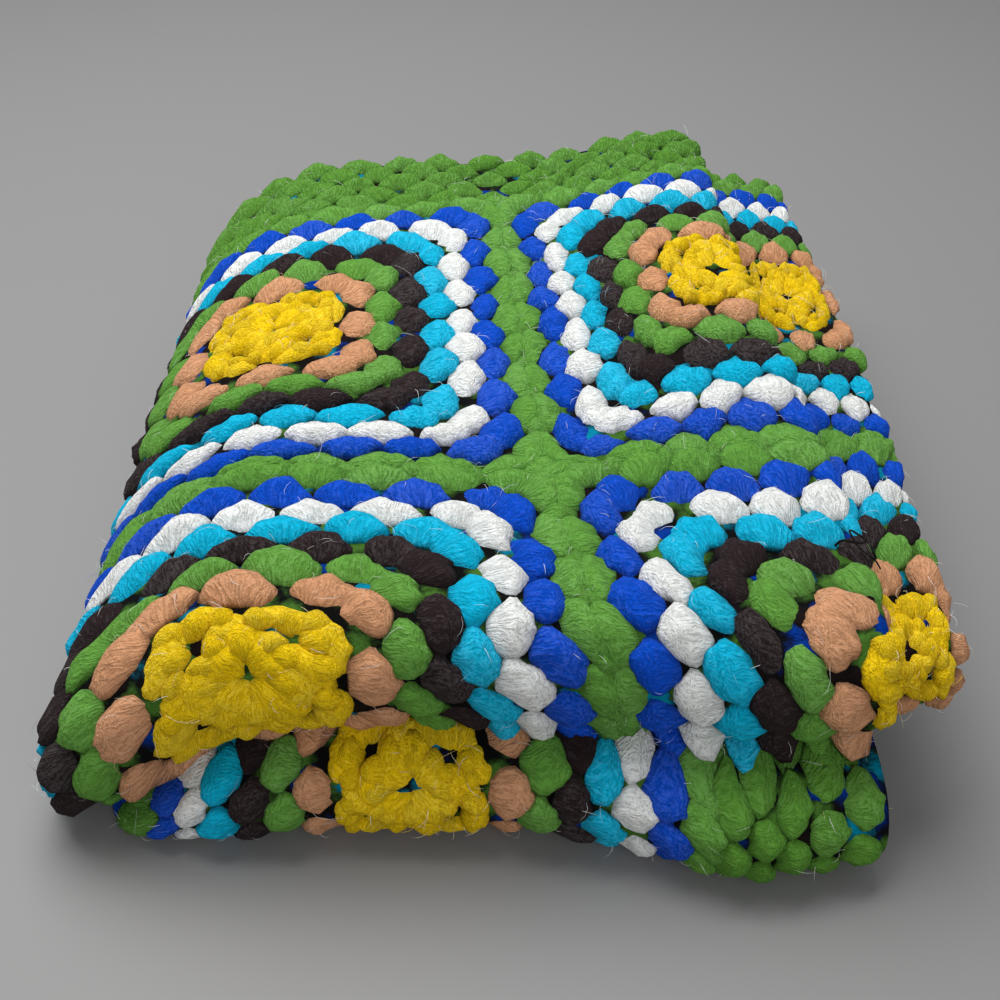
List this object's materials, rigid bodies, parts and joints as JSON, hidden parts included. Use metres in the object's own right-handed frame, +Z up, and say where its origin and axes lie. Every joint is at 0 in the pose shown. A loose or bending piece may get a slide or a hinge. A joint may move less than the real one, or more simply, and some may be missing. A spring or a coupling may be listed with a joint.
{
  "type": "folded granny square blanket",
  "caption": "Crocheted granny square blanket, folded to and fro both ways into a thick soft stack.",
  "frame": {"origin": "middle of the stack's bounding box, on the surface that it lies on", "axes": "+Y from the folds' noses to the open edges at the back, +X to the right seen from the noses, +Z up"},
  "size_m": [0.3663, 0.4622, 0.1301],
  "materials": {
    "crochet_wool": "matt woollen yarn, fuzzy"
  },
  "bodies": {
    "root": {"blanket": "crochet_wool"}
  },
  "joints": []
}
